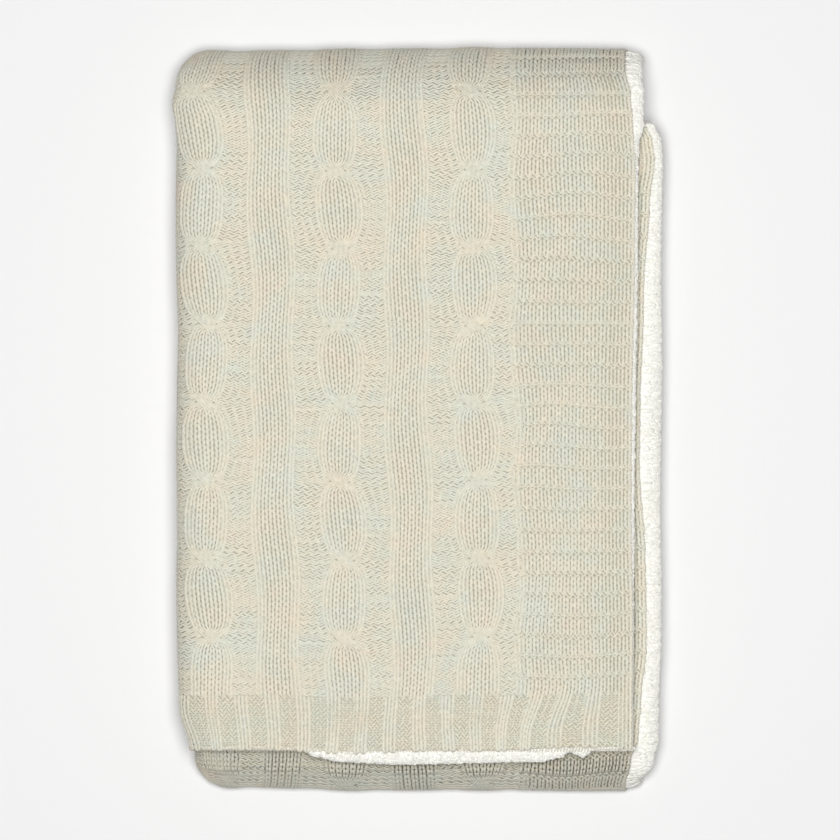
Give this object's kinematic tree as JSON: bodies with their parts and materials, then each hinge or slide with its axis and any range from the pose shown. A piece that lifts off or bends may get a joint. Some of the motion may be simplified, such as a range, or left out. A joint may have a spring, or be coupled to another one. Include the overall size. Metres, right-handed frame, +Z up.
{
  "type": "folded throw blanket",
  "caption": "Cable-knit throw with a white fleece backing, folded in three each way, whose top flap opens at the back fold.",
  "frame": {"origin": "middle of the folded blanket's footprint, on the surface it lies on", "axes": "+Y along the folded length towards the back fold, +Z up through the layers, +X across the width towards the selvages"},
  "size_m": [0.418, 0.64, 0.0638],
  "materials": {
    "knit": "soft matt yarn, cable knit",
    "fleece": "white curly pile",
    "thread": "spun sewing thread"
  },
  "bodies": {
    "stack": {"base_knit": "knit", "base_backing": "fleece", "base_seam_thread": "thread", "front_fold_knit": "knit", "front_fold_backing": "fleece", "lower_flap_knit": "knit", "lower_flap_rib_hem": "knit", "lower_flap_backing": "fleece", "lower_flap_seam_thread": "thread", "lower_flap_hem_thread": "thread", "back_fold_knit": "knit", "back_fold_backing": "fleece"},
    "top_flap": {"top_flap_knit": "knit", "top_flap_rib_hem": "knit", "top_flap_backing": "fleece", "top_flap_seam_thread": "thread", "top_flap_hem_thread": "thread"}
  },
  "joints": [
    {"name": "top_flap_fold", "type": "hinge", "parent": "stack", "child": "top_flap", "pos_m": [0, 0.2881, 0.0319], "axis": [-1, 0, 0], "range_deg": [0, 180], "deforming": ["back_fold_knit", "back_fold_backing"]}
  ]
}
